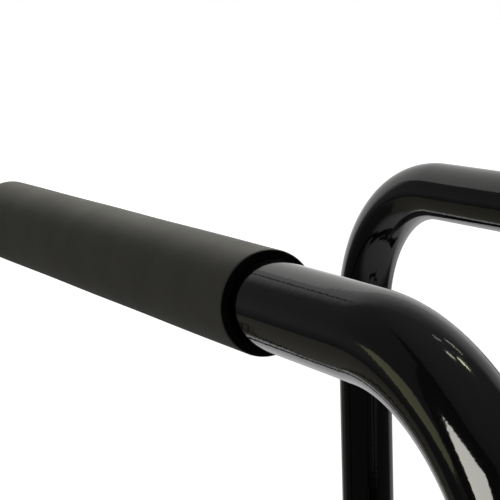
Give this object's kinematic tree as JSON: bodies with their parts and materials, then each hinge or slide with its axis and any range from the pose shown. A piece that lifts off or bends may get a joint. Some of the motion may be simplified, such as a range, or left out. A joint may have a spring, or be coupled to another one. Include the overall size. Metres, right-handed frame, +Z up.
{
  "type": "wall-mounted pull-up bar",
  "caption": "Fold-away wall-mounted pull-up frame with a foam-sleeved front bar and a bare rear bar on bent tube hoops, carried by parallel arms.",
  "frame": {"origin": "in the wall plane, at the centre of the outer wall bolts", "axes": "+X along the bars, +Y into the wall, +Z up"},
  "size_m": [0.633, 0.386, 0.7432],
  "materials": {
    "black_paint": "gloss black powder coat",
    "foam": "matt charcoal foam",
    "bumper_rubber": "matt black rubber",
    "zinc_steel": "zinc plated",
    "black_nylon": "satin black nylon"
  },
  "bodies": {
    "wall_frame": {"rear_hoop": "black_paint", "wall_plate_left": "black_paint", "wall_plate_right": "black_paint", "standoff_upper_left": "black_paint", "standoff_upper_right": "black_paint", "standoff_lower_left": "black_paint", "standoff_lower_right": "black_paint", "stop_bracket_left": "black_paint", "stop_bracket_right": "black_paint", "stop_bumper_left": "bumper_rubber", "stop_bumper_right": "bumper_rubber", "rear_leg_cap_left": "black_nylon", "rear_leg_cap_right": "black_nylon", "rear_pivot_bolts": "zinc_steel", "rear_saddle_spacers": "black_nylon", "rear_saddle_washers": "black_nylon", "rear_lock_nuts": "zinc_steel"},
    "upper_arms": {"upper_arm_left": "black_paint", "upper_arm_right": "black_paint", "upper_arm_cap_left_front": "black_nylon", "upper_arm_cap_left_rear": "black_nylon", "upper_arm_cap_right_front": "black_nylon", "upper_arm_cap_right_rear": "black_nylon", "upper_arm_rear_bushes": "black_nylon", "upper_arm_front_bushes": "black_nylon"},
    "lower_arms": {"lower_arm_left": "black_paint", "lower_arm_right": "black_paint", "lower_arm_cap_left_front": "black_nylon", "lower_arm_cap_left_rear": "black_nylon", "lower_arm_cap_right_front": "black_nylon", "lower_arm_cap_right_rear": "black_nylon", "lower_arm_rear_bushes": "black_nylon", "lower_arm_front_bushes": "black_nylon"},
    "front_frame": {"front_hoop": "black_paint", "foam_grip": "foam", "front_leg_cap_left": "black_nylon", "front_leg_cap_right": "black_nylon", "front_pivot_bolts": "zinc_steel", "front_saddle_spacers": "black_nylon", "front_saddle_washers": "black_nylon", "front_lock_nuts": "zinc_steel"}
  },
  "joints": [
    {"name": "fold_upper", "type": "hinge", "parent": "wall_frame", "child": "upper_arms", "pos_m": [0, -0.11, 0.08], "axis": [-1, 0, 0], "range_deg": [0, 90]},
    {"name": "fold_lower", "type": "hinge", "parent": "wall_frame", "child": "lower_arms", "pos_m": [0, -0.11, -0.245], "axis": [-1, 0, 0], "range_deg": [0, 90]},
    {"name": "fold_front", "type": "hinge", "parent": "upper_arms", "child": "front_frame", "pos_m": [0, -0.358, 0.08], "axis": [-1, 0, 0], "range_deg": [-90, 0]}
  ],
  "couplings": [
    {"joint": "fold_lower", "follows": "fold_upper", "ratio": 1},
    {"joint": "fold_front", "follows": "fold_upper", "ratio": -1}
  ]
}
